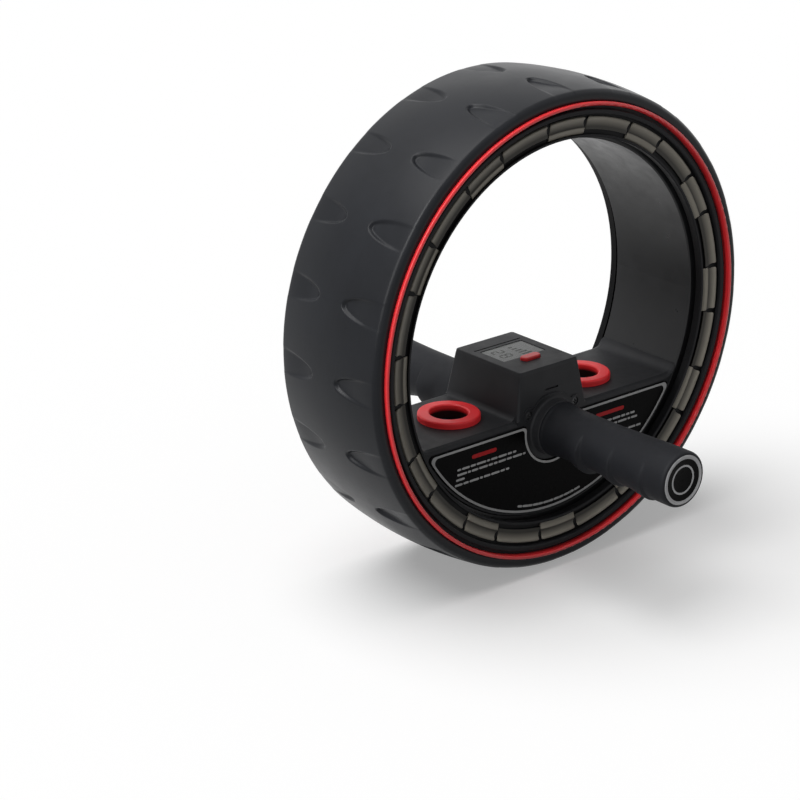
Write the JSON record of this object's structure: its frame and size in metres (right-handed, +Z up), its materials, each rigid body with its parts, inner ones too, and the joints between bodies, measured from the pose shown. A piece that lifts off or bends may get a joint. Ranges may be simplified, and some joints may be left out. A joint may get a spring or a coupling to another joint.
{
  "type": "ab wheel roller",
  "caption": "Hubless ab wheel roller: a wide tyre turns on balls round a fixed hoop, whose saddle carries grip handles, a roll counter and rimmed sockets.",
  "frame": {"origin": "centre of the wheel, on its axis and in its middle plane, which is also the centre of the box", "axes": "+Y along the wheel's axis from the front face to the back face, +Z up with the saddle low, +X to the right seen from the front"},
  "size_m": [0.3198, 0.305, 0.3198],
  "materials": {
    "tyre_rubber": "matt",
    "rim_plastic": "satin",
    "accent_red": "satin",
    "trim_taupe": "satin",
    "frame_plastic": "fine texture",
    "cover_black": "satin",
    "grommet_red": "satin",
    "grip_rubber": "matt",
    "cap_black": "gloss",
    "ring_silver": "satin",
    "tube_steel": "plain",
    "screw_steel": "plain",
    "ball_steel": "polished",
    "cage_plastic": "plain",
    "panel_plastic": "satin",
    "window_clear": "clear",
    "display_grey": "plain",
    "board_green": "plain",
    "button_red": "satin",
    "magnet_dark": "plain",
    "lead_black": "plain"
  },
  "bodies": {
    "frame": {"hoop": "frame_plastic", "saddle": "frame_plastic", "counter_box": "frame_plastic", "saddle_screws": "screw_steel", "grommet_left": "grommet_red", "grommet_right": "grommet_red", "handle_tube": "tube_steel", "counter_panel": "panel_plastic", "display_window": "window_clear", "display_module": "display_grey", "circuit_board": "board_green", "board_screws": "screw_steel", "battery_holder": "cap_black", "coin_cell": "tube_steel", "reset_switch": "cap_black", "roll_sensor": "cap_black", "sensor_lead": "lead_black", "cover_front": "cover_black", "collar_front": "panel_plastic", "collar_screws_front": "screw_steel", "grip_front": "grip_rubber", "end_cap_front": "cap_black", "cap_ring_front": "ring_silver", "cover_back": "cover_black", "collar_back": "panel_plastic", "collar_screws_back": "screw_steel", "grip_back": "grip_rubber", "end_cap_back": "cap_black", "cap_ring_back": "ring_silver"},
    "wheel": {"tyre": "tyre_rubber", "rim_front": "rim_plastic", "rim_back": "rim_plastic", "accent_ring_front": "accent_red", "accent_ring_back": "accent_red", "trim_long_front": "trim_taupe", "trim_long_back": "trim_taupe", "trim_short_front": "trim_taupe", "trim_short_back": "trim_taupe", "rim_screws": "screw_steel", "counter_magnet": "magnet_dark"},
    "cage_front": {"ball_cage_front": "cage_plastic", "bearing_balls_front": "ball_steel"},
    "cage_back": {"ball_cage_back": "cage_plastic", "bearing_balls_back": "ball_steel"},
    "button": {"reset_button": "button_red"}
  },
  "joints": [
    {"name": "wheel_spin", "type": "hinge", "parent": "frame", "child": "wheel", "pos_m": [0, 0, 0], "axis": [0, 1, 0], "continuous": true},
    {"name": "cage_front_orbit", "type": "hinge", "parent": "frame", "child": "cage_front", "pos_m": [0, 0, 0], "axis": [0, 1, 0], "continuous": true},
    {"name": "cage_back_orbit", "type": "hinge", "parent": "frame", "child": "cage_back", "pos_m": [0, 0, 0], "axis": [0, 1, 0], "continuous": true},
    {"name": "reset_button_press", "type": "slide", "parent": "frame", "child": "button", "axis": [0, 0, -1], "range_m": [0, 0.0012], "stiffness_N_per_m": 600}
  ],
  "couplings": [
    {"joint": "cage_front_orbit", "follows": "wheel_spin", "ratio": 0.5094},
    {"joint": "cage_back_orbit", "follows": "wheel_spin", "ratio": 0.5094}
  ]
}
